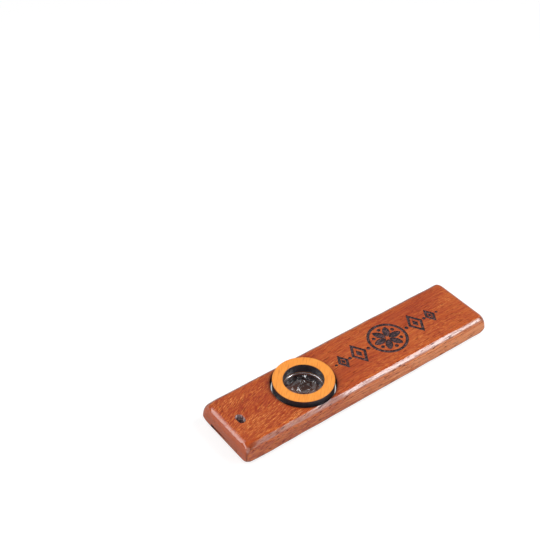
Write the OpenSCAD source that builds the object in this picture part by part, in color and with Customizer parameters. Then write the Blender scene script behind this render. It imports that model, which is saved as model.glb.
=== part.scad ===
// Flat wooden kazoo: two glued boards with an air way between them, a plated steel
// washer that seats a thin film, and a lift-off wooden cap ring held by small magnets.
// +X runs from the mouth end to the far end, +Z is up, and the origin is the middle of
// the flat underside.

/* [Body] */
// Length from the mouth end to the far end
body_l = 125; // [100:1:160]
// Width across the body
body_w = 30; // [29:0.5:40]
// Height of the two glued boards together
body_h = 10; // [9:0.5:14]
// Height of the lower board, up to the glue line
lower_h = 3.9; // [3:0.1:4.5]
// Radius along the four long edges
side_round = 3; // [1:0.1:4]
// Radius along the edges of both ends
end_round = 3; // [0.5:0.1:4]
// Radius of the four upright corners, seen from above
corner_round = 0.8; // [0.5:0.1:6]

/* [Air way] */
// Width of the mouth slot and of the run behind it
mouth_w = 17.6; // [10:0.1:18]
// Depth of the air way routed in the lower board
airway_depth = 2; // [1:0.1:2.4]
// Diameter of the round pocket under the sound hole
pocket_d = 20; // [18:0.5:22]
// Width of the run from the pocket to the outlet
tail_w = 12; // [8:0.5:15]
// Radius that the router bit leaves in the corners
router_r = 2; // [1:0.1:3]
// Length of the outlet along the body
outlet_l = 3.6; // [2:0.1:5]
// Distance from the far end to the middle of the outlet
outlet_from_end = 12; // [8:0.5:20]

/* [Lanyard hole] */
// Size of the lanyard hole along the body
lanyard_l = 3; // [2:0.1:4]
// Size of the lanyard hole across the body
lanyard_w = 4.8; // [4.1:0.1:7]
// Distance from the mouth end to the middle of the lanyard hole
lanyard_from_end = 7.5; // [5:0.1:12]
// Distance of the lanyard hole from the centre line
lanyard_aside = 0.6; // [0:0.1:3]

/* [Film seat] */
// Distance from the mouth end to the middle of the seat
seat_from_end = 38.5; // [30:0.5:60]
// Thickness of the seat washer
washer_t = 1.2; // [0.8:0.1:1.5]
// Width of washer that shows inside the hole of the cap ring
washer_reveal = 0.45; // [0.1:0.05:1]
// Depth of the washer's upper face below the top of the body
washer_drop = 2; // [1:0.1:2.2]
// Width of washer that reaches over the edge of the sound hole
washer_lip = 0.2; // [0:0.05:0.4]
// Size of the broken edges of the washer
washer_edge = 0.15; // [0.05:0.05:0.3]
// Thickness of the film
film_t = 0.1; // [0.05:0.05:0.2]
// How far the film stays inside the cap ring's rim
film_inset = 0.2; // [0.1:0.1:0.6]

/* [Cap ring] */
// Outer diameter of the cap ring
cap_d = 25; // [23:0.1:26]
// Width of the cap ring's wall, from its outer side to its hole
cap_wall = 4.25; // [3.6:0.05:5]
// Thickness of the cap ring
cap_t = 4.2; // [3:0.1:6]
// Gap all round between the cap ring and the wall of its recess
cap_gap = 0.8; // [0.3:0.05:1]
// Number of magnets set in the underside of the cap ring
magnet_count = 4; // [2:1:6]
// Diameter of a magnet
magnet_d = 3; // [2:0.1:3.2]
// Thickness of a magnet
magnet_t = 1.5; // [1:0.1:2]
// Size of the broken edges of a magnet
magnet_edge = 0.15; // [0.05:0.05:0.3]

/* [Hidden] */
$fn = 96;
// Gap round a glued-in piece
glue_gap = 0.05;
// Gap between the washer and the wall of the recess
washer_gap = 0.15;
// How far every cut runs past the face it opens
overrun = 1;

mouth_x = -body_l / 2;
seat_x = mouth_x + seat_from_end;
lanyard_x = mouth_x + lanyard_from_end;
outlet_x = body_l / 2 - outlet_from_end;
airway_floor = lower_h - airway_depth;
cap_bore = cap_d - 2 * cap_wall;
cap_wall_mid_r = (cap_d - cap_wall) / 2;
recess_d = cap_d + 2 * cap_gap;
washer_d = recess_d - 2 * washer_gap;
washer_bore = cap_bore - 2 * washer_reveal;
washer_top = body_h - washer_drop;
washer_floor = washer_top - washer_t;
sound_hole_d = washer_bore + 2 * washer_lip;
film_top = washer_top + film_t;

// Flat rounded rectangle about the origin
module rounded_rect(length, width, radius) {
    union() {
        square([length - 2 * radius, width], center = true);
        square([length, width - 2 * radius], center = true);
        for (side = [-1, 1], end = [-1, 1])
            translate([end * (length / 2 - radius), side * (width / 2 - radius)]) circle(r = radius);
    }
}

// Flat slot with half-round ends, its long way across the body
module cross_slot(length, width) {
    union() {
        square([length, width - length], center = true);
        for (side = [-1, 1]) translate([0, side * (width - length) / 2]) circle(d = length);
    }
}

// The whole body before it is cut: its three outlines, each run through the others
module body_block() {
    intersection() {
        translate([-body_l / 2 - overrun, 0, body_h / 2])
            rotate([90, 0, 90]) linear_extrude(body_l + 2 * overrun) rounded_rect(body_w, body_h, side_round);
        translate([0, body_w / 2 + overrun, body_h / 2])
            rotate([90, 0, 0]) linear_extrude(body_w + 2 * overrun) rounded_rect(body_l, body_h, end_round);
        translate([0, 0, -overrun])
            linear_extrude(body_h + 2 * overrun) rounded_rect(body_l, body_w, corner_round);
    }
}

// The slice of the body between two heights
module body_slice(low, high) {
    intersection() {
        body_block();
        translate([-body_l / 2 - overrun, -body_w / 2 - overrun, low])
            cube([body_l + 2 * overrun, body_w + 2 * overrun, high - low]);
    }
}

module lanyard_hole() {
    translate([lanyard_x, -lanyard_aside, -overrun])
        linear_extrude(body_h + 2 * overrun) cross_slot(lanyard_l, lanyard_w);
}

// Air way seen from above: mouth run, round pocket and tail with routed corners
module airway_plan() {
    tail_start = seat_x;
    tail_end = outlet_x + outlet_l / 2;
    union() {
        translate([mouth_x - overrun, -mouth_w / 2]) square([seat_x - mouth_x + overrun, mouth_w]);
        translate([seat_x, 0]) circle(d = pocket_d);
        translate([tail_start, -tail_w / 2]) square([tail_end - tail_start - router_r, tail_w]);
        translate([tail_start, -tail_w / 2 + router_r])
            square([tail_end - tail_start, tail_w - 2 * router_r]);
        for (side = [-1, 1])
            translate([tail_end - router_r, side * (tail_w / 2 - router_r)]) circle(r = router_r);
    }
}

module upper_board() {
    color("#b5572c")
        difference() {
            body_slice(lower_h, body_h + overrun);
            translate([seat_x, 0, washer_floor]) cylinder(d = recess_d, h = body_h - washer_floor + overrun);
            translate([seat_x, 0, lower_h - overrun])
                cylinder(d = sound_hole_d, h = washer_floor - lower_h + 2 * overrun);
            lanyard_hole();
        }
}

module lower_board() {
    color("#ab5029")
        difference() {
            body_slice(-overrun, lower_h);
            translate([0, 0, airway_floor]) linear_extrude(airway_depth + overrun) airway_plan();
            translate([outlet_x, 0, -overrun])
                linear_extrude(airway_floor + 2 * overrun) cross_slot(outlet_l, tail_w - router_r);
            lanyard_hole();
        }
}

module seat_washer() {
    inner = washer_bore / 2;
    outer = washer_d / 2;
    color("#c9ccd0")
        translate([seat_x, 0, washer_floor])
        rotate_extrude()
        polygon([
            [inner + washer_edge, 0], [outer - washer_edge, 0], [outer, washer_edge],
            [outer, washer_t - washer_edge], [outer - washer_edge, washer_t],
            [inner + washer_edge, washer_t], [inner, washer_t - washer_edge], [inner, washer_edge]
        ]);
}

module membrane() {
    color("#dfe6e8", 0.4)
        translate([seat_x, 0, washer_top]) cylinder(d = cap_d - 2 * film_inset, h = film_t);
}

// Repeats its children at each magnet's place, flush with the underside of the cap ring
module at_magnets() {
    for (i = [0 : magnet_count - 1])
        translate([seat_x, 0, film_top])
            rotate([0, 0, 360 * (i + 0.5) / magnet_count]) translate([cap_wall_mid_r, 0, 0]) children();
}

module cap_ring() {
    color("#e8a055")
        difference() {
            translate([seat_x, 0, film_top]) cylinder(d = cap_d, h = cap_t);
            translate([seat_x, 0, film_top - overrun]) cylinder(d = cap_bore, h = cap_t + 2 * overrun);
            at_magnets()
                translate([0, 0, -overrun]) cylinder(d = magnet_d + 2 * glue_gap, h = magnet_t + glue_gap + overrun);
        }
}

module cap_magnets() {
    rim = magnet_d / 2;
    color("#b9bcc2")
        at_magnets()
        rotate_extrude()
        polygon([
            [0, 0], [rim - magnet_edge, 0], [rim, magnet_edge],
            [rim, magnet_t - magnet_edge], [rim - magnet_edge, magnet_t], [0, magnet_t]
        ]);
}

upper_board();
lower_board();
seat_washer();
membrane();
cap_ring();
cap_magnets();
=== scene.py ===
import math

import bmesh
import bpy
from mathutils import Matrix, Vector, noise


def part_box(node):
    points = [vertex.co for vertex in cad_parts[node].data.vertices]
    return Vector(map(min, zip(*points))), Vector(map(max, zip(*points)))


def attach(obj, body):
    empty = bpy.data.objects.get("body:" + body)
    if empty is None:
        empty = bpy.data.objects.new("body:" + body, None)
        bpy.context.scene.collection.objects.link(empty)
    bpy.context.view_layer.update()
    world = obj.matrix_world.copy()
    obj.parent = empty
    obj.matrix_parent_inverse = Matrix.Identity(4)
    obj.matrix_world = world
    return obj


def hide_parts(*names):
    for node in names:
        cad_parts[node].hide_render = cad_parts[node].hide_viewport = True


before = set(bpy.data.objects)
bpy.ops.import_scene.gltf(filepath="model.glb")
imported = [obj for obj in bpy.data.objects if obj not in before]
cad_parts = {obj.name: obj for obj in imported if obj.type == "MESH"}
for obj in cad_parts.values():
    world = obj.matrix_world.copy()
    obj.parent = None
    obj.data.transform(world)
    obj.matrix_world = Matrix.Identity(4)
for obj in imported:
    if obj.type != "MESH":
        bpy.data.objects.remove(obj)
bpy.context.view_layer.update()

# The looks of a flat wooden kazoo: boards with hand-sanded edges and a burnt ornament, a plated
# washer, a crinkled film, and a cap ring with burnt walls and plated magnets. Lengths are in
# millimetres, +X runs from the mouth end to the far end and +Z is up.
MM = 0.001


def node_box(name):
    """The lowest and highest corners of a node, in millimetres."""
    low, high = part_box(name)
    return low / MM, high / MM


# Sizes taken from the frame
BODY_LOW, BODY_SEAM = node_box("lower_board")
BODY_HIGH = node_box("upper_board")[1]
WASHER_LOW, WASHER_HIGH = node_box("seat_washer")
FILM_LOW, FILM_HIGH = node_box("membrane")
CAP_LOW, CAP_HIGH = node_box("cap_ring")
BODY_L = BODY_HIGH.x - BODY_LOW.x
HALF_W = BODY_HIGH.y
BODY_H = BODY_HIGH.z
SEAM = BODY_SEAM.z
MOUTH_X = BODY_LOW.x
SEAT_X = (CAP_LOW.x + CAP_HIGH.x) / 2
WASHER_R = (WASHER_HIGH.x - WASHER_LOW.x) / 2
FILM_R = (FILM_HIGH.x - FILM_LOW.x) / 2
CAP_R = (CAP_HIGH.x - CAP_LOW.x) / 2

# Body
SIDE_ROUND = 3.0
END_ROUND = 3.0
CORNER_ROUND = 0.8
# The upright corners are rounder at the top
TOP_CORNER_ROUND = 3.0
ROUND_STEPS = 12
STATION_STEP = 1.0
# A long edge's rounding takes at most this share of the height from the seam to the face
ROUND_LIMIT = 0.96
# The sander left the long edges' roundings up to this share wider or narrower, in waves
SANDING_SHARE = 0.12
SANDING_WAVE = 8.0
# Each long edge takes its waves from another place in the noise, this far apart
SANDING_APART = 7.3
# Towards the mouth end the long edges' roundings reach further over the top, by this share
MOUTH_SPREAD_SHARE = 0.8
MOUTH_SPREAD_RUN = 7.0
OVERRUN = 1.0
EASED_EDGE = 0.15

# Air way
AIRWAY_FLOOR = 1.9
MOUTH_W = 17.6
POCKET_R = 10.0
TAIL_W = 12.0
ROUTER_R = 2.0
OUTLET_L = 3.6
OUTLET_FROM_END = 12.0
SOUND_HOLE_R = 8.0
POCKET_STEPS = 32
ROUTER_STEPS = 8

# Lanyard hole
LANYARD_L = 3.0
LANYARD_W = 4.8
LANYARD_FROM_END = 7.5
LANYARD_ASIDE = 0.6
# Its edges are rounded with this radius, as far as this turn
LANYARD_EDGE = 0.2
LANYARD_EDGE_TURN = math.radians(75)
LANYARD_EDGE_STEPS = 5

# Seat and washer
RECESS_R = 13.3
WASHER_BORE_R = 7.8
WASHER_EDGE = 0.22

# Film: from here to its rim it is clamped flat, and it gets there over this run
FILM_CALM_R = 7.6
FILM_CALM_RUN = 2.2
FILM_RINGS = 60
FILM_SPOKES = 180
FILM_SHARP_FROM = 60
BILLOW_HEIGHT = 0.5
BILLOW_L = 1.9
BILLOW_SLICE = 4.7
# Folds, set out in a spiral: each has another direction, length and height than the last
CREASE_COUNT = 17
CREASE_HEIGHT = 0.5
CREASE_HEIGHT_STEP = 2.4
CREASE_SPIRAL_SHARE = 0.85
CREASE_TURN_STEP = 1.9
CREASE_L = 1.6
CREASE_L_SWING = 1.1
CREASE_L_STEP = 1.3
CREASE_WIDTH_SHARE = 0.4
GOLDEN_ANGLE = math.radians(137.5)

# Cap ring
CAP_BORE_R = 8.25
CAP_EDGE = 0.14
CAP_EDGE_STEPS = 3
MAGNET_COUNT = 4
MAGNET_POCKET_R = 1.55
MAGNET_POCKET_DEPTH = 1.55
MAGNET_POCKET_STEPS = 48
CIRCLE_STEPS = 192
TIP_REACH = 2

# Ornament: a six-petal rosette in a ring, with a chain of diamonds and dots on each side
ORNAMENT_X = 20.0
ENGRAVING_DEPTH = 0.3
ENGRAVING_TAPER = 0.08
ROSETTE_R = 8.8
ROSETTE_LINE = 1.3
ROSETTE_STEPS = 96
PETAL_L = 6.2
PETAL_FROM = 0.7
PETAL_W = 3.2
PETAL_COUNT = 6
ROSETTE_DOT_R = 0.85
DOT_STEPS = 20
# Distance from the rosette's middle, half length along the body and half width of a diamond
DIAMONDS = ((15.4, 3.7, 6.2), (23.6, 2.5, 4.3))
DIAMOND_LINE = 1.2
DIAMOND_HEART_SHARE = 0.34
# Distance from the rosette's middle and radius of a dot
CHAIN_DOTS = ((10.4, 0.85), (20.2, 0.8), (27.2, 0.65))

# Edges sharper than this many degrees stay sharp in shading
SHARP_FROM = 32
# Above 50, large faces sway the shading beside them more than small ones do
FLAT_WEIGHT = 90

# Material slots of a board
WOOD, BURNT, RAW, SINGED, SCORCHED = range(5)


# Outlines and solids

def circle(radius, steps=CIRCLE_STEPS, centre=(0, 0)):
    turn = 2 * math.pi / steps
    return [Vector((centre[0] + radius * math.cos(i * turn), centre[1] + radius * math.sin(i * turn)))
            for i in range(steps)]


def arc(centre, radius, start, turn, steps):
    """Points along an arc, with both of its ends."""
    angles = [start + turn * i / steps for i in range(steps + 1)]
    return [Vector((centre[0] + radius * math.cos(angle), centre[1] + radius * math.sin(angle)))
            for angle in angles]


def cross_slot(length, width, centre, steps=24):
    """A slot with half-round ends, its long way across the body."""
    radius = length / 2
    reach = width / 2 - radius
    points = []
    for side, start in ((1, 0), (-1, math.pi)):
        points += arc((centre[0], centre[1] + side * reach), radius, start, math.pi, steps)
    return points


def moved_out(outline, distance):
    """The outline with every edge moved outwards; sharp tips move at most TIP_REACH times as
    far."""
    if not distance:
        return list(outline)
    points = []
    count = len(outline)
    for i, point in enumerate(outline):
        before = (point - outline[i - 1]).normalized()
        after = (outline[(i + 1) % count] - point).normalized()
        normal_a = Vector((before.y, -before.x))
        normal_b = Vector((after.y, -after.x))
        mitre = normal_a + normal_b
        share = max(mitre.length_squared / 2, 1 / TIP_REACH)
        points.append(point + mitre * distance / share)
    return points


def stack(bm, outline, levels, slots, hole=None):
    """A closed solid through the same outline at several levels. A level is a height and how
    far the outline is moved out there. slots holds the material of the floor and of each wall,
    and the lid takes the last wall's."""
    def ring(points, height):
        return [bm.verts.new((p.x, p.y, height)) for p in points]

    outer = [ring(moved_out(outline, out), height) for height, out in levels]
    inner = [ring(moved_out(hole, -out), height) for height, out in levels] if hole else None
    count = len(outline)

    def wall(low, high, slot):
        for i in range(count):
            j = (i + 1) % count
            bm.faces.new((low[i], low[j], high[j], high[i])).material_index = slot

    for rings in filter(None, (outer, inner)):
        for low, high, slot in zip(rings, rings[1:], slots[1:]):
            wall(low, high, slot)
    if inner:
        wall(outer[0], inner[0], slots[0])
        wall(outer[-1], inner[-1], slots[-1])
    else:
        bm.faces.new(outer[0][::-1]).material_index = slots[0]
        bm.faces.new(outer[-1]).material_index = slots[-1]


def lathe(bm, profile, slots, centre_x):
    """A ring: a closed profile of radius and height turned about a vertical axis."""
    rings = [[bm.verts.new((p.x + centre_x, p.y, height)) for p in circle(radius)]
             for radius, height in profile]
    for i, slot in enumerate(slots):
        low, high = rings[i], rings[(i + 1) % len(rings)]
        for k in range(CIRCLE_STEPS):
            j = (k + 1) % CIRCLE_STEPS
            bm.faces.new((low[k], low[j], high[j], high[k])).material_index = slot


def rounded_profile(inner, outer, low, high, edge, steps=4):
    """A rectangular ring section with its four edges rounded."""
    points = []
    corners = ((outer - edge, low + edge, -90), (outer - edge, high - edge, 0),
               (inner + edge, high - edge, 90), (inner + edge, low + edge, 180))
    for r, z, start in corners:
        for i in range(steps + 1):
            angle = math.radians(start + 90 * i / steps)
            points.append((r + edge * math.cos(angle), z + edge * math.sin(angle)))
    return points


def piece(name, bm, materials):
    """Turns a mesh drawn in millimetres into an object of the frame."""
    bmesh.ops.recalc_face_normals(bm, faces=bm.faces)
    mesh = bpy.data.meshes.new(name)
    bm.to_mesh(mesh)
    bm.free()
    mesh.transform(Matrix.Scale(MM, 4))
    for material in materials:
        mesh.materials.append(material)
    made = bpy.data.objects.new(name, mesh)
    bpy.context.scene.collection.objects.link(made)
    return made


def carve(target, cutters):
    """Cuts each cutter out of the target in turn, with the materials of its walls."""
    for cutter in cutters:
        cut = target.modifiers.new("cut", "BOOLEAN")
        cut.operation = "DIFFERENCE"
        cut.solver = "EXACT"
        cut.object = cutter
    depsgraph = bpy.context.evaluated_depsgraph_get()
    mesh = bpy.data.meshes.new_from_object(target.evaluated_get(depsgraph))
    target.modifiers.clear()
    target.data = mesh
    for cutter in cutters:
        bpy.data.objects.remove(cutter)


def smooth(target, sharp_from=SHARP_FROM):
    """Smooth shading that keeps sharp edges and lets the large flat faces stay flat."""
    mesh = target.data
    mesh.polygons.foreach_set("use_smooth", [True] * len(mesh.polygons))
    mesh.set_sharp_from_angle(angle=math.radians(sharp_from))
    weighted = target.modifiers.new("weighted", "WEIGHTED_NORMAL")
    weighted.keep_sharp = True
    weighted.weight = FLAT_WEIGHT


# Body

def drawn_in(distance, radius):
    """How far a rounding draws the body in at a distance from its end."""
    if distance >= radius:
        return 0
    return radius - math.sqrt(radius ** 2 - (radius - distance) ** 2)


def stations():
    """Places along the body, from the mouth end, that are close together on the roundings."""
    near = sorted({round(radius * (1 - math.cos(math.pi / 2 * i / ROUND_STEPS)), 4)
                   for radius in (END_ROUND, TOP_CORNER_ROUND, CORNER_ROUND) for i in range(ROUND_STEPS + 1)})
    rounded = near[-1]
    run = BODY_L - 2 * rounded
    count = round(run / STATION_STEP)
    middle = [rounded + run * i / count for i in range(1, count)]
    return near + middle + [BODY_L - place for place in reversed(near)]


def sanded(radius, along, edge):
    """A long edge's rounding, which the sander left a little wider here and narrower there."""
    place = Vector((along / SANDING_WAVE, edge * SANDING_APART, 0))
    return radius * (1 + SANDING_SHARE * noise.noise(place))


def board_section(along, upper):
    """The board's outline across the body at a place along it, from the seam over its edges."""
    from_end = min(along, BODY_L - along)
    rise = drawn_in(from_end, END_ROUND)
    face = BODY_H - rise if upper else rise
    up = 1 if upper else -1
    spread = 1 + MOUTH_SPREAD_SHARE * max(0, 1 - along / MOUTH_SPREAD_RUN) ** 2

    def half_at(height):
        share = max(0, height - SEAM) / (BODY_H - SEAM)
        return HALF_W - drawn_in(from_end, CORNER_ROUND + (TOP_CORNER_ROUND - CORNER_ROUND) * share)

    points = [(-half_at(SEAM), SEAM)]
    for corner, side in enumerate((-1, 1)):
        radius = min(sanded(SIDE_ROUND, along, corner + 2 * upper), abs(face - SEAM) * ROUND_LIMIT)
        for i in range(ROUND_STEPS + 1):
            turn = math.pi / 2 * i / ROUND_STEPS
            out, over = (math.cos(turn), math.sin(turn)) if side < 0 else (math.sin(turn), math.cos(turn))
            height = face - up * radius * (1 - over)
            points.append((side * (half_at(height) - radius * spread * (1 - out)), height))
    points.append((half_at(SEAM), SEAM))
    return points


def board_block(name, upper):
    """A board before it is cut: its section swept from the mouth end to the far end."""
    bm = bmesh.new()
    rings = [[bm.verts.new((MOUTH_X + along, y, z)) for y, z in board_section(along, upper)]
             for along in stations()]
    count = len(rings[0])
    for a, b in zip(rings, rings[1:]):
        for i in range(count):
            j = (i + 1) % count
            bm.faces.new((a[i], a[j], b[j], b[i]))
    bm.faces.new(rings[0])
    bm.faces.new(rings[-1])
    return piece(name, bm, BOARD_MATERIALS)


def cutter(build):
    """A cutter object made by a function that draws into a mesh."""
    bm = bmesh.new()
    build(bm)
    return piece("cutter", bm, BOARD_MATERIALS)


def cut_recess(bm):
    levels = ((WASHER_LOW.z, 0), (BODY_H - EASED_EDGE, 0), (BODY_H + OVERRUN, EASED_EDGE + OVERRUN))
    stack(bm, circle(RECESS_R, centre=(SEAT_X, 0)), levels, (RAW, SCORCHED, WOOD))


def cut_sound_hole(bm):
    levels = ((SEAM - OVERRUN, 0), (WASHER_LOW.z + OVERRUN, 0))
    stack(bm, circle(SOUND_HOLE_R, centre=(SEAT_X, 0)), levels, (BURNT, BURNT))


def cut_lanyard_hole(bm):
    outline = cross_slot(LANYARD_L, LANYARD_W, (MOUTH_X + LANYARD_FROM_END, -LANYARD_ASIDE))
    steps = LANYARD_EDGE_STEPS
    turns = [LANYARD_EDGE_TURN * i / steps for i in range(steps + 1)]
    edge = [(LANYARD_EDGE * (1 - math.sin(turn)), LANYARD_EDGE * (1 - math.cos(turn))) for turn in turns]
    depth, out = edge[-1]
    flare = out + (OVERRUN + depth) * math.tan(LANYARD_EDGE_TURN)
    levels = [(-OVERRUN, flare)] + edge[::-1]
    levels += [(BODY_H - depth, out) for depth, out in edge] + [(BODY_H + OVERRUN, flare)]
    slots = [WOOD] * (steps + 2) + [SINGED] + [WOOD] * (steps + 1)
    stack(bm, outline, levels, slots)


def airway_outline():
    """The air way seen from above: mouth run, round pocket and tail with routed corners."""
    half_mouth = MOUTH_W / 2
    half_tail = TAIL_W / 2
    tail_end = BODY_HIGH.x - OUTLET_FROM_END + OUTLET_L / 2
    at_mouth = math.asin(half_mouth / POCKET_R)
    at_tail = math.asin(half_tail / POCKET_R)
    pocket = ((SEAT_X, 0), POCKET_R)
    turn = math.pi - at_mouth - at_tail
    points = [Vector((MOUTH_X - OVERRUN, -half_mouth))]
    points += arc(*pocket, -math.pi + at_mouth, turn, POCKET_STEPS)
    for side, start in ((-1, -math.pi / 2), (1, 0)):
        corner = (tail_end - ROUTER_R, side * (half_tail - ROUTER_R))
        points += arc(corner, ROUTER_R, start, math.pi / 2, ROUTER_STEPS)
    points += arc(*pocket, at_tail, turn, POCKET_STEPS)
    points.append(Vector((MOUTH_X - OVERRUN, half_mouth)))
    return points


def cut_airway(bm):
    stack(bm, airway_outline(), ((AIRWAY_FLOOR, 0), (SEAM + OVERRUN, 0)), (RAW, RAW))


def cut_outlet(bm):
    outline = cross_slot(OUTLET_L, TAIL_W - ROUTER_R, (BODY_HIGH.x - OUTLET_FROM_END, 0))
    levels = ((-OVERRUN, EASED_EDGE + OVERRUN), (EASED_EDGE, 0), (AIRWAY_FLOOR + OVERRUN, 0))
    stack(bm, outline, levels, (WOOD, WOOD, BURNT))


# Ornament

def engrave(bm, outline, hole=None):
    flare = ENGRAVING_TAPER * OVERRUN / ENGRAVING_DEPTH
    levels = ((BODY_H - ENGRAVING_DEPTH, -ENGRAVING_TAPER), (BODY_H + OVERRUN, flare))
    stack(bm, outline, levels, (BURNT, BURNT), hole)


def petal(angle, steps=14):
    """Two arcs that meet in a tip at each end, pointing away from the rosette's middle."""
    half = PETAL_L / 2
    bow = PETAL_W / 2
    radius = (half ** 2 + bow ** 2) / (2 * bow)
    reach = math.asin(half / radius)
    points = []
    for side in (-1, 1):
        for i in range(steps):
            turn = side * reach * (2 * i / steps - 1)
            along = PETAL_FROM + half - radius * math.sin(turn)
            across = side * (radius * math.cos(turn) - radius + bow)
            points.append((along, across))
    spin = Matrix.Rotation(angle, 2)
    return [spin @ Vector(p) + Vector((ORNAMENT_X, 0)) for p in points]


def diamond(centre_x, half_l, half_w):
    return [Vector((centre_x + half_l, 0)), Vector((centre_x, half_w)),
            Vector((centre_x - half_l, 0)), Vector((centre_x, -half_w))]


def cut_ornament(bm):
    middle = (ORNAMENT_X, 0)
    engrave(bm, circle(ROSETTE_R, ROSETTE_STEPS, middle),
            circle(ROSETTE_R - ROSETTE_LINE, ROSETTE_STEPS, middle))
    reach = PETAL_L - ROSETTE_DOT_R / 2
    for i in range(PETAL_COUNT):
        angle = 2 * math.pi * i / PETAL_COUNT
        engrave(bm, petal(angle))
        between = angle + math.pi / PETAL_COUNT
        dot = (ORNAMENT_X + reach * math.cos(between), reach * math.sin(between))
        engrave(bm, circle(ROSETTE_DOT_R, DOT_STEPS, dot))
    for side in (-1, 1):
        for away, half_l, half_w in DIAMONDS:
            outline = diamond(ORNAMENT_X + side * away, half_l, half_w)
            engrave(bm, outline, moved_out(outline, -DIAMOND_LINE))
            share = DIAMOND_HEART_SHARE
            engrave(bm, diamond(ORNAMENT_X + side * away, half_l * share, half_w * share))
        for away, radius in CHAIN_DOTS:
            engrave(bm, circle(radius, DOT_STEPS, (ORNAMENT_X + side * away, 0)))


# Film

def crease(x, y, i):
    """The height that the i-th fold adds: a ridge that fades along and across its line."""
    away = FILM_CALM_R * math.sqrt((i + 0.5) / CREASE_COUNT) * CREASE_SPIRAL_SHARE
    dx = x - away * math.cos(i * GOLDEN_ANGLE)
    dy = y - away * math.sin(i * GOLDEN_ANGLE)
    angle = CREASE_TURN_STEP * i
    along = dx * math.cos(angle) + dy * math.sin(angle)
    across = -dx * math.sin(angle) + dy * math.cos(angle)
    length = CREASE_L + CREASE_L_SWING * math.cos(CREASE_L_STEP * i)
    height = CREASE_HEIGHT * math.sin(CREASE_HEIGHT_STEP * i + 1)
    return height * math.exp(-(along / length) ** 2) * math.exp(-abs(across) / (CREASE_WIDTH_SHARE * length))


def film_lift(x, y):
    """How far the film stands above its flat seat, inside the clamped rim."""
    away = math.hypot(x, y)
    if away >= FILM_CALM_R:
        return 0
    calm = min(1, (FILM_CALM_R - away) / FILM_CALM_RUN)
    lift = BILLOW_HEIGHT * noise.noise(Vector((x / BILLOW_L, y / BILLOW_L, BILLOW_SLICE)))
    for i in range(CREASE_COUNT):
        lift += crease(x, y, i)
    return lift * calm * calm * (3 - 2 * calm)


def film_mesh(bm):
    """Two skins a film's thickness apart, closed at the rim."""
    skins = []
    for height in (FILM_LOW.z, FILM_HIGH.z):
        rings = [[bm.verts.new((SEAT_X, 0, height + film_lift(0, 0)))]]
        for i in range(1, FILM_RINGS + 1):
            radius = FILM_R * i / FILM_RINGS
            rings.append([bm.verts.new((SEAT_X + p.x, p.y, height + film_lift(p.x, p.y)))
                          for p in circle(radius, FILM_SPOKES)])
        skins.append(rings)
    for rings in skins:
        for k in range(FILM_SPOKES):
            j = (k + 1) % FILM_SPOKES
            bm.faces.new((rings[0][0], rings[1][k], rings[1][j]))
            for a, b in zip(rings[1:], rings[2:]):
                bm.faces.new((a[k], b[k], b[j], a[j]))
    low, high = (rings[-1] for rings in skins)
    for k in range(FILM_SPOKES):
        j = (k + 1) % FILM_SPOKES
        bm.faces.new((low[k], low[j], high[j], high[k]))


# Nodes

def new_tree(name):
    material = bpy.data.materials.new(name)
    material.use_nodes = True
    material.node_tree.nodes.clear()
    return material, material.node_tree


def add(tree, kind, inputs=None, **settings):
    """A node with its settings, and with each input given as a value or a socket to link."""
    made = tree.nodes.new(kind)
    for name, value in settings.items():
        setattr(made, name, value)
    for key, value in (inputs or {}).items():
        if isinstance(value, bpy.types.NodeSocket):
            tree.links.new(value, made.inputs[key])
        else:
            made.inputs[key].default_value = value
    return made


def calc(tree, operation, a, b=0.0):
    return add(tree, "ShaderNodeMath", {0: a, 1: b}, operation=operation).outputs[0]


def plus(tree, a, b):
    return calc(tree, "ADD", a, b)


def minus(tree, a, b):
    return calc(tree, "SUBTRACT", a, b)


def times(tree, a, b):
    return calc(tree, "MULTIPLY", a, b)


def weighed(tree, *parts):
    """The sum of several values, each of them times its weight."""
    total = None
    for value, weight in parts:
        part = times(tree, value, weight)
        total = part if total is None else plus(tree, total, part)
    return total


def varied(tree, source, spread, least):
    """A value that is least where the source is 0 and grows with it, by the spread at 1."""
    return plus(tree, times(tree, source, spread), least)


def span(tree, value, low, high, to_low=0.0, to_high=1.0):
    """A smooth step from to_low, where the value is low, to to_high, where it is high."""
    inputs = {"Value": value, "From Min": low, "From Max": high, "To Min": to_low, "To Max": to_high}
    return add(tree, "ShaderNodeMapRange", inputs, interpolation_type="SMOOTHSTEP").outputs[0]


def vector_calc(tree, operation, a, b=(0, 0, 0), output=0):
    return add(tree, "ShaderNodeVectorMath", {0: a, 1: b}, operation=operation).outputs[output]


def split(tree, vector):
    return add(tree, "ShaderNodeSeparateXYZ", {0: vector}).outputs


def mix(tree, share, a, b):
    made = add(tree, "ShaderNodeMix", data_type="RGBA", blend_type="MIX")
    for socket, value in ((made.inputs[0], share), (made.inputs[6], a), (made.inputs[7], b)):
        if isinstance(value, bpy.types.NodeSocket):
            tree.links.new(value, socket)
        else:
            socket.default_value = value
    return made.outputs[2]


def ramp(tree, value, stops):
    made = add(tree, "ShaderNodeValToRGB", {0: value})
    elements = made.color_ramp.elements
    while len(elements) < len(stops):
        elements.new(0.5)
    for element, (place, colour) in zip(elements, stops):
        element.position = place
        element.color = colour
    return made.outputs[0]


def millimetres(tree):
    """A point's place in the frame, in millimetres."""
    place = add(tree, "ShaderNodeTexCoord").outputs["Object"]
    return add(tree, "ShaderNodeVectorMath", {0: place, "Scale": 1 / MM}, operation="SCALE").outputs[0]


def surface_normal(tree):
    return add(tree, "ShaderNodeNewGeometry").outputs["Normal"]


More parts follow.
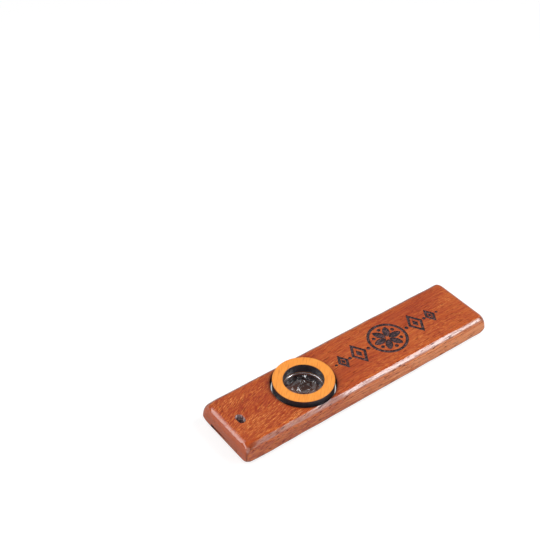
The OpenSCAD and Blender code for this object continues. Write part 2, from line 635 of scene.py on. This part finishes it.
def grain(tree, place, per_mm, detail=2.0, rough=0.5, turn=0.0):
    """Noise with its own number of features per millimetre along each axis."""
    inputs = {"Vector": place, "Rotation": (0, 0, turn)}
    turned = add(tree, "ShaderNodeMapping", inputs).outputs[0] if turn else place
    scaled = vector_calc(tree, "MULTIPLY", turned, per_mm)
    inputs = {"Vector": scaled, "Scale": 1.0, "Detail": detail, "Roughness": rough}
    return add(tree, "ShaderNodeTexNoise", inputs).outputs[0]


def from_seat(tree, place):
    """Distance from the seat's axis, in millimetres."""
    apart = vector_calc(tree, "SUBTRACT", place, (SEAT_X, 0, 0))
    flat = vector_calc(tree, "MULTIPLY", apart, (1, 1, 0))
    return vector_calc(tree, "LENGTH", flat, output="Value")


def bumped(tree, height, strength, depth_mm):
    inputs = {"Height": height, "Strength": strength, "Distance": depth_mm * MM}
    return add(tree, "ShaderNodeBump", inputs).outputs[0]


def finish_material(tree, shader):
    add(tree, "ShaderNodeOutputMaterial", {"Surface": shader})


def finish_principled(tree, inputs):
    finish_material(tree, add(tree, "ShaderNodeBsdfPrincipled", inputs).outputs[0])


# Lacquered wood

WOOD_DARK = (0.30, 0.032, 0.010, 1)
WOOD_MIDDLE = (0.445, 0.077, 0.0165, 1)
WOOD_LIGHT = (0.56, 0.139, 0.029, 1)
WOOD_GOLDEN = (0.82, 0.30, 0.085, 1)
WOOD_PORE = (0.085, 0.012, 0.006, 1)
# The painted shade on the roundings beside the long sides, under their highlight band
ROUNDING_PAINTED_SHADE = (0.19, 0.036, 0.012, 1)
WOOD_SIDE = (0.83, 0.325, 0.122, 1)
WOOD_SIDE_STREAK = (0.60, 0.17, 0.045, 1)
WOOD_STOPS = ((0.1, WOOD_DARK), (0.5, WOOD_MIDDLE), (0.8, WOOD_LIGHT), (1.0, WOOD_GOLDEN))
# Each noise in the wood: features per millimetre along each axis, then detail and roughness
STREAKS = ((0.03, 1.1, 1.1), 3.0, 0.6)
LINES = ((0.07, 2.4, 2.4), 2.0, 0.6)
DASHES = ((0.5, 2.6, 2.6), 2.0, 0.6)
HAIRS = ((0.2, 6.0, 6.0), 2.0, 0.6)
PORES = ((0.32, 2.4, 2.4), 1.0, 0.4)
CLOUDS = ((0.03, 0.08, 0.08), 2.0)
FIGURE = ((0.045, 0.11, 0.11), 1.0)
WANDER = ((0.014, 0.05, 0.05), 1.0)
# The middle of what a noise gives
NOISE_MIDDLE = 0.5
# How far the fibres wander off straight lines
WANDER_REACH = 8.0
# From here to the mouth end the fibres turn more and more aside
FIBRES_TURN_X = 8.0
FIBRES_TURN = 0.0042
# Towards the -Y side of the board they turn less
CALM_SHARE = 0.45
# On the -Y and +Y side they turn by these shares of what they turn on the top beside it
SIDE_TURN_NEAR = 0.85
SIDE_TURN_FAR = 0.25
# What each noise weighs in the tone, which is TONE_MIDDLE where they add nothing
DASH_WEIGHT = 0.5
STREAK_WEIGHT = 0.8
HAIR_WEIGHT = 0.7
CLOUD_WEIGHT = 0.8
TONE_MIDDLE = 0.5
# A step is given as where it starts and ends, and some then have the values at its two ends.
# Dashes start and are full here, and this is taken off them
DASH_STEP = (0.36, 0.68)
DASH_MIDDLE = 0.46
# How strong the dashes are away from the mouth end and at it, and how figured places change that
DASHES_TO_MOUTH = (0.5, 1.0)
FIGURE_STEP = (0.3, 0.6, 0.5, 1.5)
# Faces that look along the fibres show less of them
END_STEP = (0.08, 0.5, 1.0, 0.2)
# Faces that look sideways take the long sides' colour, up to this share
SIDE_STEP = (0.5, 1.0)
SIDE_SHARE = 0.8
SIDE_STREAK_WEIGHT = 0.45
SIDE_LINE_WEIGHT = 0.55
SIDE_TONE_STEP = (0.4, 0.58)
# From here to there the long sides get paler, from one share to the other
PALE_FROM_X = -30.0
PALE_TO_X = 20.0
PALE_SHARES = (0.08, 0.8)
# The roundings beside the long sides are painted darker, a painted shade under the highlight band that the
# key lamps put there, to hold down its brightness: two steps, up from the top and down to the side
ROUNDING_STEP_UP = (0.3, 0.55)
ROUNDING_STEP_DOWN = (0.95, 0.8)
ROUNDING_SHADE_SHARE = 0.65
# Where wood turns to a pore; the long sides and their roundings have more and darker pores
PORE_STEP = (0.63, 0.69)
SIDE_PORE_STEP = (0.3, 0.42)
MORE_SIDE_PORES = 0.02
PORE_DARKNESS_STEP = (0.0, 0.5, 0.55, 0.85)
# The wood is darker round the recess, up to this share at its edge and none this far out
RECESS_DARK_FROM = 0.1
RECESS_DARK_TO = 1.1
RECESS_DARK = 0.55
# The flat top is rubbed down and has this share of the roundings' gloss
RUBBED_STEP = (0.88, 0.97)
TOP_GLOSS = 0.3
# The lacquer sinks into the lines and the pores and loses gloss there
LINE_STEP = (0.36, 0.5)
LINE_GLOSS = 0.45
PORE_GLOSS_LOSS = 0.7
# A roughness is given as how much a noise adds and what it adds to, and a bump as its strength
# and depth
WOOD_ROUGH = (0.2, 0.3)
WOOD_BUMP = (0.5, 0.03)
COAT_BUMP = (0.15, 0.03)
HAIR_RELIEF = 0.5
STREAK_RELIEF = 1.5


def fibre_run(tree, place):
    """Coordinates that follow the fibres, so that a streak keeps the same second and third: for
    the top, and for the sides, where the fibres turn less."""
    x, y, _ = split(tree, place)
    behind = calc(tree, "MINIMUM", minus(tree, x, FIBRES_TURN_X), 0.0)
    rate = span(tree, y, -HALF_W, 0.0, FIBRES_TURN * CALM_SHARE, FIBRES_TURN)
    turned = times(tree, times(tree, behind, behind), rate)
    aside = times(tree, minus(tree, grain(tree, place, *WANDER), NOISE_MIDDLE), WANDER_REACH)
    side_share = span(tree, y, -HALF_W, HALF_W, SIDE_TURN_NEAR, SIDE_TURN_FAR)
    runs = []
    for turn in (turned, times(tree, turned, side_share)):
        shift = add(tree, "ShaderNodeCombineXYZ", {1: plus(tree, aside, turn), 2: aside}).outputs[0]
        runs.append(vector_calc(tree, "ADD", place, shift))
    return runs


def top_colour(tree, place, wood, streaks, hairs, along_grain):
    """Red-brown with streaks and hairs, and golden dashes that get stronger to the mouth end."""
    x = split(tree, place)[0]
    to_mouth = span(tree, x, FIBRES_TURN_X, MOUTH_X, *DASHES_TO_MOUTH)
    lively = times(tree, to_mouth, span(tree, grain(tree, place, *FIGURE), *FIGURE_STEP))
    crisp = minus(tree, span(tree, grain(tree, wood, *DASHES), *DASH_STEP), DASH_MIDDLE)
    parts = [(times(tree, crisp, lively), DASH_WEIGHT)]
    clouds = grain(tree, place, *CLOUDS)
    for source, weight in ((streaks, STREAK_WEIGHT), (hairs, HAIR_WEIGHT), (clouds, CLOUD_WEIGHT)):
        parts.append((minus(tree, source, NOISE_MIDDLE), weight))
    tone = plus(tree, times(tree, weighed(tree, *parts), along_grain), TONE_MIDDLE)
    return ramp(tree, tone, WOOD_STOPS)


def side_colour(tree, place, side_wood):
    """The long sides: streaks and lines, paler towards the far end."""
    x = split(tree, place)[0]
    streaks = grain(tree, side_wood, *STREAKS)
    lines = grain(tree, side_wood, *LINES)
    tone = weighed(tree, (streaks, SIDE_STREAK_WEIGHT), (lines, SIDE_LINE_WEIGHT))
    tone = span(tree, tone, *SIDE_TONE_STEP)
    red = mix(tree, tone, WOOD_DARK, WOOD_LIGHT)
    pale = mix(tree, tone, WOOD_SIDE_STREAK, WOOD_SIDE)
    return mix(tree, span(tree, x, PALE_FROM_X, PALE_TO_X, *PALE_SHARES), red, pale)


def open_pores(tree, wood, side_wood, facing_side, along_grain):
    top = grain(tree, wood, *PORES)
    side = plus(tree, grain(tree, side_wood, *PORES), MORE_SIDE_PORES)
    pores = mix(tree, span(tree, facing_side, *SIDE_PORE_STEP), top, side)
    return times(tree, span(tree, pores, *PORE_STEP), along_grain)


def lacquer_gloss(tree, wood, pores, facing_up):
    """How much lacquer stands on the wood: less on the flat top, in the lines and in the pores."""
    rubbed = span(tree, facing_up, *RUBBED_STEP, 1.0, TOP_GLOSS)
    gloss = times(tree, rubbed, minus(tree, 1.0, times(tree, pores, PORE_GLOSS_LOSS)))
    return times(tree, gloss, span(tree, grain(tree, wood, *LINES), *LINE_STEP, LINE_GLOSS, 1.0))


def lacquered_wood():
    """Red-brown hardwood: long streaks, short golden dashes that gather towards the mouth end,
    and dark open pores, all under a clear lacquer."""
    material, tree = new_tree("lacquered_wood")
    place = millimetres(tree)
    wood, side_wood = fibre_run(tree, place)
    normal = surface_normal(tree)
    facing_up = split(tree, normal)[2]
    facing_end, facing_side, _ = split(tree, vector_calc(tree, "ABSOLUTE", normal))
    along_grain = span(tree, facing_end, *END_STEP)
    streaks = grain(tree, wood, *STREAKS)
    hairs = grain(tree, wood, *HAIRS)
    pores = open_pores(tree, wood, side_wood, facing_side, along_grain)

    colour = top_colour(tree, place, wood, streaks, hairs, along_grain)
    on_side = times(tree, span(tree, facing_side, *SIDE_STEP), SIDE_SHARE)
    colour = mix(tree, on_side, colour, side_colour(tree, place, side_wood))
    # Painted shade: the colour is darkened on the roundings where the highlight band falls
    rounding = span(tree, facing_side, *ROUNDING_STEP_UP)
    rounding = times(tree, rounding, span(tree, facing_side, *ROUNDING_STEP_DOWN))
    colour = mix(tree, times(tree, rounding, ROUNDING_SHADE_SHARE), colour, ROUNDING_PAINTED_SHADE)
    dark = times(tree, pores, span(tree, facing_side, *PORE_DARKNESS_STEP))
    colour = mix(tree, dark, colour, WOOD_PORE)
    away = from_seat(tree, place)
    # The top is darker towards the edge of the recess
    recess_dark = span(tree, away, RECESS_R + RECESS_DARK_FROM, RECESS_R + RECESS_DARK_TO, RECESS_DARK, 0.0)
    colour = mix(tree, recess_dark, colour, WOOD_PORE)

    fibres = weighed(tree, (hairs, HAIR_RELIEF), (streaks, STREAK_RELIEF))
    relief = minus(tree, times(tree, fibres, along_grain), pores)
    finish_principled(tree, {
        "Base Color": colour, "Roughness": varied(tree, hairs, *WOOD_ROUGH), "Specular IOR Level": 0.05,
        "Normal": bumped(tree, relief, *WOOD_BUMP), "Coat Normal": bumped(tree, relief, *COAT_BUMP),
        "Coat Weight": lacquer_gloss(tree, wood, pores, facing_up), "Coat Roughness": 0.12, "Coat IOR": 1.75})
    return material


# Other materials

# Detail and roughness of the noise behind charred wood's lines
CHAR_LINES = (2.0, 0.6)
CHAR_CLOTS = ((0.9, 1.4, 1.4), 3.0, 0.6)
# What its lines and clots weigh in turning it to ember, which takes this run
CHAR_LINE_WEIGHT = 0.7
CHAR_CLOT_WEIGHT = 0.3
EMBER_RUN = 0.22
CHAR_ROUGH_SPREAD = 0.3
CHAR_BUMP = (0.8, 0.08)


def burnt_wood(name, char, ember, lines_per_mm, ember_from, rough_least=0.3, specular=0.3):
    """Charred wood with the fine lines of a laser, with ember where less of it burnt."""
    material, tree = new_tree(name)
    place = millimetres(tree)
    lines = grain(tree, place, lines_per_mm, *CHAR_LINES)
    clots = grain(tree, place, *CHAR_CLOTS)
    left = weighed(tree, (lines, CHAR_LINE_WEIGHT), (clots, CHAR_CLOT_WEIGHT))
    left = span(tree, left, ember_from, ember_from + EMBER_RUN)
    finish_principled(tree, {
        "Base Color": mix(tree, left, char, ember),
        "Roughness": varied(tree, clots, CHAR_ROUGH_SPREAD, rough_least),
        "Normal": bumped(tree, lines, *CHAR_BUMP), "Specular IOR Level": specular})
    return material


RAW_STOPS = ((0.3, (0.46, 0.14, 0.075, 1)), (0.7, (0.66, 0.26, 0.16, 1)))
RAW_FIBRES = ((0.06, 3.0, 3.0), 4.0, 0.6)
RAW_SWIRLS = ((1.2, 1.2, 3.0), 2.0)
RAW_FIBRE_WEIGHT = 0.7
RAW_SWIRL_WEIGHT = 0.3
RAW_BUMP = (0.6, 0.06)
# How far in from the mouth the air way's floor is left out of the painted shade, where light falls in through
# the slot: a step over y
UNSHADED_ACROSS = (-6.0, 4.0, 1.7, 0.8)
UNSHADED_FADE = 0.5
# Up to the first distance from the slot's +Y end the floor stays in painted shade, and from the second it is
# fully left out of it
SHADED_END_RUN = 1.6
UNSHADED_FROM_END = 2.6
# Only faces that look up are left out of the painted shade
UNSHADED_FACING = (0.5, 0.9)
# Behind that edge the floor is painted dark, a painted shade: a step over y, stronger on the slot's +Y side,
# and less of it further in, where these distances from the mouth end are passed
SLOT_PAINTED_SHADE = (0.085, 0.014, 0.006, 1)
SHADE_ACROSS = (-2.0, 6.0, 0.65, 0.95)
SHADE_INSIDE = 0.4
SHADE_FROM = 6.0
SHADE_TO = 16.0


def unshaded_lip(tree, x, y):
    """One on the part of the air way's floor near the mouth that the painted shade leaves out, where light
    falls in.
    """
    facing_up = split(tree, surface_normal(tree))[2]
    past_unshaded = minus(tree, minus(tree, x, MOUTH_X), span(tree, y, *UNSHADED_ACROSS))
    unshaded = times(tree, span(tree, past_unshaded, 0.0, -UNSHADED_FADE), span(tree, facing_up, *UNSHADED_FACING))
    return times(tree, unshaded, span(tree, y, MOUTH_W / 2 - SHADED_END_RUN, MOUTH_W / 2 - UNSHADED_FROM_END))


def raw_wood():
    """The routed, unlacquered inside of the air way, painted darker where it lies in shade."""
    material, tree = new_tree("raw_wood")
    place = millimetres(tree)
    fibres = grain(tree, place, *RAW_FIBRES)
    swirls = grain(tree, place, *RAW_SWIRLS)
    tone = weighed(tree, (fibres, RAW_FIBRE_WEIGHT), (swirls, RAW_SWIRL_WEIGHT))
    fresh = ramp(tree, tone, RAW_STOPS)
    x, y, _ = split(tree, place)
    # Painted shade: the inside of the air way is painted dark behind the lit floor at the mouth, most by the
    # slot's +Y end
    painted_shade = span(tree, y, *SHADE_ACROSS)
    painted_shade = span(tree, x, MOUTH_X + SHADE_FROM, MOUTH_X + SHADE_TO, painted_shade, SHADE_INSIDE)
    painted_shade = times(tree, painted_shade, minus(tree, 1.0, unshaded_lip(tree, x, y)))
    finish_principled(tree, {
        "Base Color": mix(tree, painted_shade, fresh, SLOT_PAINTED_SHADE), "Roughness": 0.75,
        "Normal": bumped(tree, fibres, *RAW_BUMP)})
    return material


CAP_STOPS = ((0.32, (0.79, 0.23, 0.036, 1)), (0.5, (0.93, 0.33, 0.050, 1)), (0.7, (0.98, 0.42, 0.085, 1)))
CAP_LINE = (0.58, 0.15, 0.03, 1)
CAP_RIM = (0.42, 0.10, 0.02, 1)
CAP_TURN = math.radians(-45)
# The noises of the cap's face, which all but the patches are turned like its grain, and what
# three of them weigh in the tone
CAP_GRAIN = ((0.14, 2.6, 2.6), 3.0, 0.6, CAP_TURN)
CAP_FINE_GRAIN = ((0.5, 9.0, 9.0), 2.0, 0.6, CAP_TURN)
CAP_PATCHES = ((0.12, 0.25, 0.25), 2.0)
CAP_LINES = ((0.12, 2.2, 2.2), 1.0, 0.4, CAP_TURN)
CAP_GRAIN_WEIGHT = 0.55
CAP_FINE_WEIGHT = 0.25
CAP_PATCH_WEIGHT = 0.2
CAP_LINE_STEP = (0.58, 0.7)
CAP_LINE_SHARE = 0.5
CAP_ROUGH = (0.2, 0.38)
CAP_BUMP = (0.4, 0.03)
# The face is browned towards both of its edges, over these runs and this strongly
CAP_RIM_RUN = 0.7
CAP_BORE_RUN = 0.6
CAP_RIM_SHARE = 0.22


def cap_face_wood():
    """Pale orange veneer with fine grain that runs at a slant."""
    material, tree = new_tree("cap_face_wood")
    place = millimetres(tree)
    coarse = grain(tree, place, *CAP_GRAIN)
    fine = grain(tree, place, *CAP_FINE_GRAIN)
    patches = grain(tree, place, *CAP_PATCHES)
    tone = weighed(tree, (coarse, CAP_GRAIN_WEIGHT), (fine, CAP_FINE_WEIGHT), (patches, CAP_PATCH_WEIGHT))
    lines = span(tree, grain(tree, place, *CAP_LINES), *CAP_LINE_STEP)
    colour = mix(tree, times(tree, lines, CAP_LINE_SHARE), ramp(tree, tone, CAP_STOPS), CAP_LINE)
    away = from_seat(tree, place)
    outer = span(tree, away, CAP_R - CAP_RIM_RUN, CAP_R)
    inner = span(tree, away, CAP_BORE_R + CAP_BORE_RUN, CAP_BORE_R)
    rim = times(tree, calc(tree, "MAXIMUM", outer, inner), CAP_RIM_SHARE)
    finish_principled(tree, {
        "Base Color": mix(tree, rim, colour, CAP_RIM), "Roughness": varied(tree, fine, *CAP_ROUGH),
        "Normal": bumped(tree, fine, *CAP_BUMP), "Specular IOR Level": 0.35})
    return material


WASHER_TINT = (0.90, 0.90, 0.92, 1)
MAGNET_TINT = (0.70, 0.69, 0.68, 1)
PLATING_LIGHT = (0.96, 0.96, 0.97, 1)
PLATING_SPECK = (1.0, 1.0, 1.0, 1)
POLISH_MARKS_PER_MM = 9.0
MOTTLE = ((0.5, 0.5, 0.5), 3.0, 0.6)
MOTTLE_STEP = (0.35, 0.65)
MOTTLE_ROUGH_STEP = (0.3, 0.7)
SPECKS = ((1.6, 1.6, 1.6), 1.0)
SPECK_STEP = (0.66, 0.72)
PLATING_BUMP = (0.12, 0.01)


def plating(name, tint, rough_low, rough_high):
    """Plating with faint round polishing marks about the seat and small bright specks."""
    material, tree = new_tree(name)
    place = millimetres(tree)
    inputs = {"W": times(tree, from_seat(tree, place), POLISH_MARKS_PER_MM), "Scale": 1.0, "Detail": 2.0}
    marks = add(tree, "ShaderNodeTexNoise", inputs, noise_dimensions="1D").outputs[0]
    mottle = grain(tree, place, *MOTTLE)
    specks = span(tree, grain(tree, place, *SPECKS), *SPECK_STEP)
    colour = mix(tree, span(tree, mottle, *MOTTLE_STEP), tint, PLATING_LIGHT)
    finish_principled(tree, {
        "Base Color": mix(tree, specks, colour, PLATING_SPECK), "Metallic": 1.0,
        "Roughness": span(tree, mottle, *MOTTLE_ROUGH_STEP, rough_low, rough_high),
        "Normal": bumped(tree, marks, *PLATING_BUMP)})
    return material


FILM_TINT = (0.97, 0.97, 0.975, 1)
# What a skin of the film mirrors when it is seen straight on, and what a slant adds to that
FILM_MIRROR = 0.1
FILM_SLANT_MIRROR = 0.93
FILM_SLANT_POWER = 5.0
# Wrinkles too small for the mesh, and the roughness that they go with
HANDLING = ((0.9, 0.9, 0.9), 3.0, 0.6)
HANDLING_ROUGH_STEP = (0.3, 0.75, 0.04, 0.16)
HANDLING_BUMP = (0.5, 0.16)


def clear_film():
    """Clear plastic too thin to bend light: it mirrors a little, more at a slant, and the rest
    goes straight through."""
    material, tree = new_tree("clear_film")
    handling = grain(tree, millimetres(tree), *HANDLING)
    rough = span(tree, handling, *HANDLING_ROUGH_STEP)
    bump = bumped(tree, handling, *HANDLING_BUMP)
    slant = add(tree, "ShaderNodeLayerWeight", {"Blend": 0.5, "Normal": bump}).outputs["Facing"]
    slant = calc(tree, "POWER", slant, FILM_SLANT_POWER)
    share = varied(tree, slant, FILM_SLANT_MIRROR, FILM_MIRROR)
    mirror = add(tree, "ShaderNodeBsdfAnisotropic", {"Roughness": rough, "Normal": bump}).outputs[0]
    through = add(tree, "ShaderNodeBsdfTransparent", {"Color": FILM_TINT}).outputs[0]
    finish_material(tree, add(tree, "ShaderNodeMixShader", {0: share, 1: through, 2: mirror}).outputs[0])
    return material


# Pieces

def place_piece(made, body, slot, *nodes):
    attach(made, body)
    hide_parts(*nodes)


def make_boards():
    upper = board_block("upper_board_wood", True)
    lower = board_block("lower_board_wood", False)
    carve(upper, [cutter(cut) for cut in (cut_recess, cut_sound_hole, cut_lanyard_hole, cut_ornament)])
    carve(lower, [cutter(cut) for cut in (cut_airway, cut_outlet, cut_lanyard_hole)])
    for board, node in ((upper, "upper_board"), (lower, "lower_board")):
        smooth(board)
        place_piece(board, "body", "body_wood", node)


def make_washer():
    bm = bmesh.new()
    profile = rounded_profile(WASHER_BORE_R, WASHER_R, WASHER_LOW.z, WASHER_HIGH.z, WASHER_EDGE)
    lathe(bm, profile, [0] * len(profile), SEAT_X)
    washer = piece("plated_washer", bm, [plating("washer_plating", WASHER_TINT, 0.12, 0.26)])
    smooth(washer)
    place_piece(washer, "body", "plated_steel", "seat_washer")


def make_film():
    bm = bmesh.new()
    film_mesh(bm)
    film = piece("crinkled_film", bm, [clear_film()])
    smooth(film, FILM_SHARP_FROM)
    place_piece(film, "body", "clear_film", "membrane")


def magnet_pockets(slot, materials):
    """A cutter with a pocket for each magnet in the underside of the cap ring."""
    bm = bmesh.new()
    middle_r = (CAP_BORE_R + CAP_R) / 2
    levels = ((CAP_LOW.z - OVERRUN, 0), (CAP_LOW.z + MAGNET_POCKET_DEPTH, 0))
    for i in range(MAGNET_COUNT):
        angle = 2 * math.pi * (i + 0.5) / MAGNET_COUNT
        centre = (SEAT_X + middle_r * math.cos(angle), middle_r * math.sin(angle))
        stack(bm, circle(MAGNET_POCKET_R, MAGNET_POCKET_STEPS, centre), levels, (slot, slot))
    return piece("cutter", bm, materials)


def make_cap():
    face, side = 0, 1
    materials = [
        cap_face_wood(),
        burnt_wood("cap_char", (0.015, 0.013, 0.018, 1), (0.06, 0.05, 0.06, 1),
                   lines_per_mm=(0.5, 7.0, 7.0), ember_from=0.5, rough_least=0.2, specular=0.55),
    ]
    bm = bmesh.new()
    profile = rounded_profile(CAP_BORE_R, CAP_R, CAP_LOW.z, CAP_HIGH.z, CAP_EDGE, CAP_EDGE_STEPS)
    slots = []
    for (_, z_a), (_, z_b) in zip(profile, profile[1:] + profile[:1]):
        upright = abs(z_b - z_a) > CAP_EDGE * 2
        slots.append(side if upright else face)
    lathe(bm, profile, slots, SEAT_X)
    cap = piece("cap_ring_wood", bm, materials)
    carve(cap, [magnet_pockets(side, materials)])
    smooth(cap)
    place_piece(cap, "cap", "cap_wood", "cap_ring")


def plate_magnets():
    """The CAD's own magnets stay and get a better material."""
    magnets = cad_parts["cap_magnets"]
    magnets.data.materials.clear()
    magnets.data.materials.append(plating("magnet_plating", MAGNET_TINT, 0.12, 0.28))


# Studio

# A lamp's name, the place of its middle, the direction of its long side, its size, and its watts
LAMPS = (
    ("key_strip", (372, -506, 476), (0, -1, -1), (980, 370), 2.2),
    ("key_core", (450, -423, 534), (0, -1, -1), (730, 190), 3.5),
    ("end_strip", (-340, 424, 580), (0.85, 0, 0.5), (800, 200), 2.0),
    ("corner_strip", (-553, 108, 412), (-0.3, -0.79, -0.53), (560, 200), 1.3),
    ("front_fill", (-620, -540, 380), (1, -1, 0), (1000, 640), 2.7),
)
WHITE = (1, 1, 1, 1)
# What the sky adds to the lamps' light
SKY_FILL = 0.16
# Above the horizon the backdrop that mirrors see darkens to this, between these two heights
SKY_DIM = 0.12
DIM_FROM = 0.12
DIM_TO = 0.38
# A pale card behind the object, which its top mirrors towards the camera: its direction, how
# white it is, and the closeness to its direction at which it starts and is full
CARD_WAY = Vector((0.456, 0.625, 0.634))
CARD_WHITE = 0.68
CARD_FROM = 0.86
CARD_TO = 0.95
FLOOR_COLOUR = (0.5, 0.5, 0.5, 1)
# What the camera sees on top of the lit floor, so that it looks white
FLOOR_LIFT = 0.63
FLOOR_SIZE = 3000.0
# Between these distances from the origin the floor fades to plain white
FADE_FROM = 160.0
FADE_TO = 420.0


def softbox(name, middle, along, size, power):
    """A rectangular lamp that faces the object, its long side as near to a direction as that
    lets it be."""
    facing = Vector(middle).normalized()
    upright = facing.cross(Vector(along)).normalized()
    lamp = bpy.data.lights.new(name, "AREA")
    lamp.shape = "RECTANGLE"
    lamp.size, lamp.size_y = (side * MM for side in size)
    lamp.energy = power
    made = bpy.data.objects.new(name, lamp)
    turn = Matrix((upright.cross(facing), upright, facing)).transposed().to_4x4()
    made.matrix_world = Matrix.Translation(Vector(middle) * MM) @ turn
    bpy.context.scene.collection.objects.link(made)


def camera_ray(tree):
    return add(tree, "ShaderNodeLightPath").outputs["Is Camera Ray"]


def seen_directly(tree):
    """One where a camera, mirror or glass ray looks, and nothing where a surface is lit."""
    path = add(tree, "ShaderNodeLightPath").outputs
    seen = calc(tree, "MAXIMUM", path["Is Camera Ray"], path["Is Glossy Ray"])
    return calc(tree, "MAXIMUM", seen, path["Is Transmission Ray"])


def make_world():
    """White for the camera; mirrors see a dim sky above the horizon, and a pale card in it."""
    world = bpy.data.worlds.new("studio")
    world.use_nodes = True
    tree = world.node_tree
    tree.nodes.clear()
    fill = add(tree, "ShaderNodeBackground", {"Color": WHITE, "Strength": SKY_FILL}).outputs[0]
    way = add(tree, "ShaderNodeTexCoord").outputs["Generated"]
    backdrop = span(tree, split(tree, way)[2], DIM_FROM, DIM_TO, 1.0, SKY_DIM)
    towards = vector_calc(tree, "DOT_PRODUCT", way, CARD_WAY, output="Value")
    card = span(tree, towards, CARD_FROM, CARD_TO, 0.0, CARD_WHITE)
    backdrop = calc(tree, "MAXIMUM", backdrop, card)
    backdrop = calc(tree, "MAXIMUM", backdrop, camera_ray(tree))
    white = add(tree, "ShaderNodeBackground", {"Color": WHITE, "Strength": backdrop}).outputs[0]
    shown = add(tree, "ShaderNodeMixShader", {0: seen_directly(tree), 1: fill, 2: white}).outputs[0]
    add(tree, "ShaderNodeOutputWorld", {"Surface": shown})
    bpy.context.scene.world = world


def floor_white():
    """A pale floor that keeps the object's shadow near it and is plain white further out."""
    material, tree = new_tree("floor_white")
    lit = add(tree, "ShaderNodeBsdfDiffuse", {"Color": FLOOR_COLOUR}).outputs[0]
    lift = times(tree, camera_ray(tree), FLOOR_LIFT)
    lift = add(tree, "ShaderNodeEmission", {"Strength": lift}).outputs[0]
    near = add(tree, "ShaderNodeAddShader", {0: lit, 1: lift}).outputs[0]
    white = add(tree, "ShaderNodeEmission", {"Strength": 1.0}).outputs[0]
    away = vector_calc(tree, "LENGTH", millimetres(tree), output="Value")
    far = times(tree, span(tree, away, FADE_FROM, FADE_TO), seen_directly(tree))
    finish_material(tree, add(tree, "ShaderNodeMixShader", {0: far, 1: near, 2: white}).outputs[0])
    return material


def make_floor():
    bm = bmesh.new()
    half = FLOOR_SIZE / 2
    corners = [bm.verts.new((x * half, y * half, 0)) for x, y in ((-1, -1), (1, -1), (1, 1), (-1, 1))]
    bm.faces.new(corners)
    piece("floor", bm, [floor_white()])


# Camera: the view of the photograph's nearer kazoo, as fitted to its edges
PHOTO_PIXELS = 540
FOCAL_PIXELS = 1107.38
SENSOR_W = 36.0
# The camera sees what lies between these distances from it
CLIP_FROM = 10.0
CLIP_TO = 10000.0
VIEW_AZIMUTH = -36.129
VIEW_ELEVATION = 39.314
VIEW_ROLL = -0.406
# Where the middle of the body lies from the camera: right, down and forward
BODY_FROM_CAMERA = Vector((32.587, 39.548, 452.362))


def make_camera():
    a, e, roll = (math.radians(angle) for angle in (VIEW_AZIMUTH, VIEW_ELEVATION, VIEW_ROLL))
    right = Vector((math.cos(a), math.sin(a), 0))
    forward = Vector((-math.sin(a) * math.cos(e), math.cos(a) * math.cos(e), -math.sin(e)))
    down = forward.cross(right)
    rolled_right = right * math.cos(roll) - down * math.sin(roll)
    rolled_down = right * math.sin(roll) + down * math.cos(roll)
    aim = Vector((0, 0, BODY_H / 2))
    offset = (rolled_right * BODY_FROM_CAMERA.x + rolled_down * BODY_FROM_CAMERA.y
              + forward * BODY_FROM_CAMERA.z)
    lens = bpy.data.cameras.new("camera")
    lens.sensor_width = SENSOR_W
    lens.lens = FOCAL_PIXELS / PHOTO_PIXELS * SENSOR_W
    lens.clip_start, lens.clip_end = CLIP_FROM * MM, CLIP_TO * MM
    camera = bpy.data.objects.new("camera", lens)
    turn = Matrix((rolled_right, -rolled_down, -forward)).transposed().to_4x4()
    camera.matrix_world = Matrix.Translation((aim - offset) * MM) @ turn
    bpy.context.scene.collection.objects.link(camera)
    bpy.context.scene.camera = camera


# In the order of the material slots of a board
BOARD_MATERIALS = [
    lacquered_wood(),
    burnt_wood("board_char", (0.015, 0.011, 0.015, 1), (0.27, 0.13, 0.13, 1),
               lines_per_mm=(0.6, 4.0, 4.0), ember_from=0.47, rough_least=0.28),
    raw_wood(),
    burnt_wood("singed_wood", (0.14, 0.08, 0.09, 1), (0.80, 0.64, 0.64, 1),
               lines_per_mm=(2.4, 2.4, 0.3), ember_from=0.4),
    burnt_wood("scorched_wood", (0.024, 0.013, 0.01, 1), (0.30, 0.085, 0.032, 1),
               lines_per_mm=(0.7, 0.7, 3.0), ember_from=0.42),
]
make_boards()
make_washer()
make_film()
make_cap()
plate_magnets()
make_floor()
make_world()
for lamp in LAMPS:
    softbox(*lamp)
make_camera()
bpy.context.scene.view_settings.view_transform = "Standard"
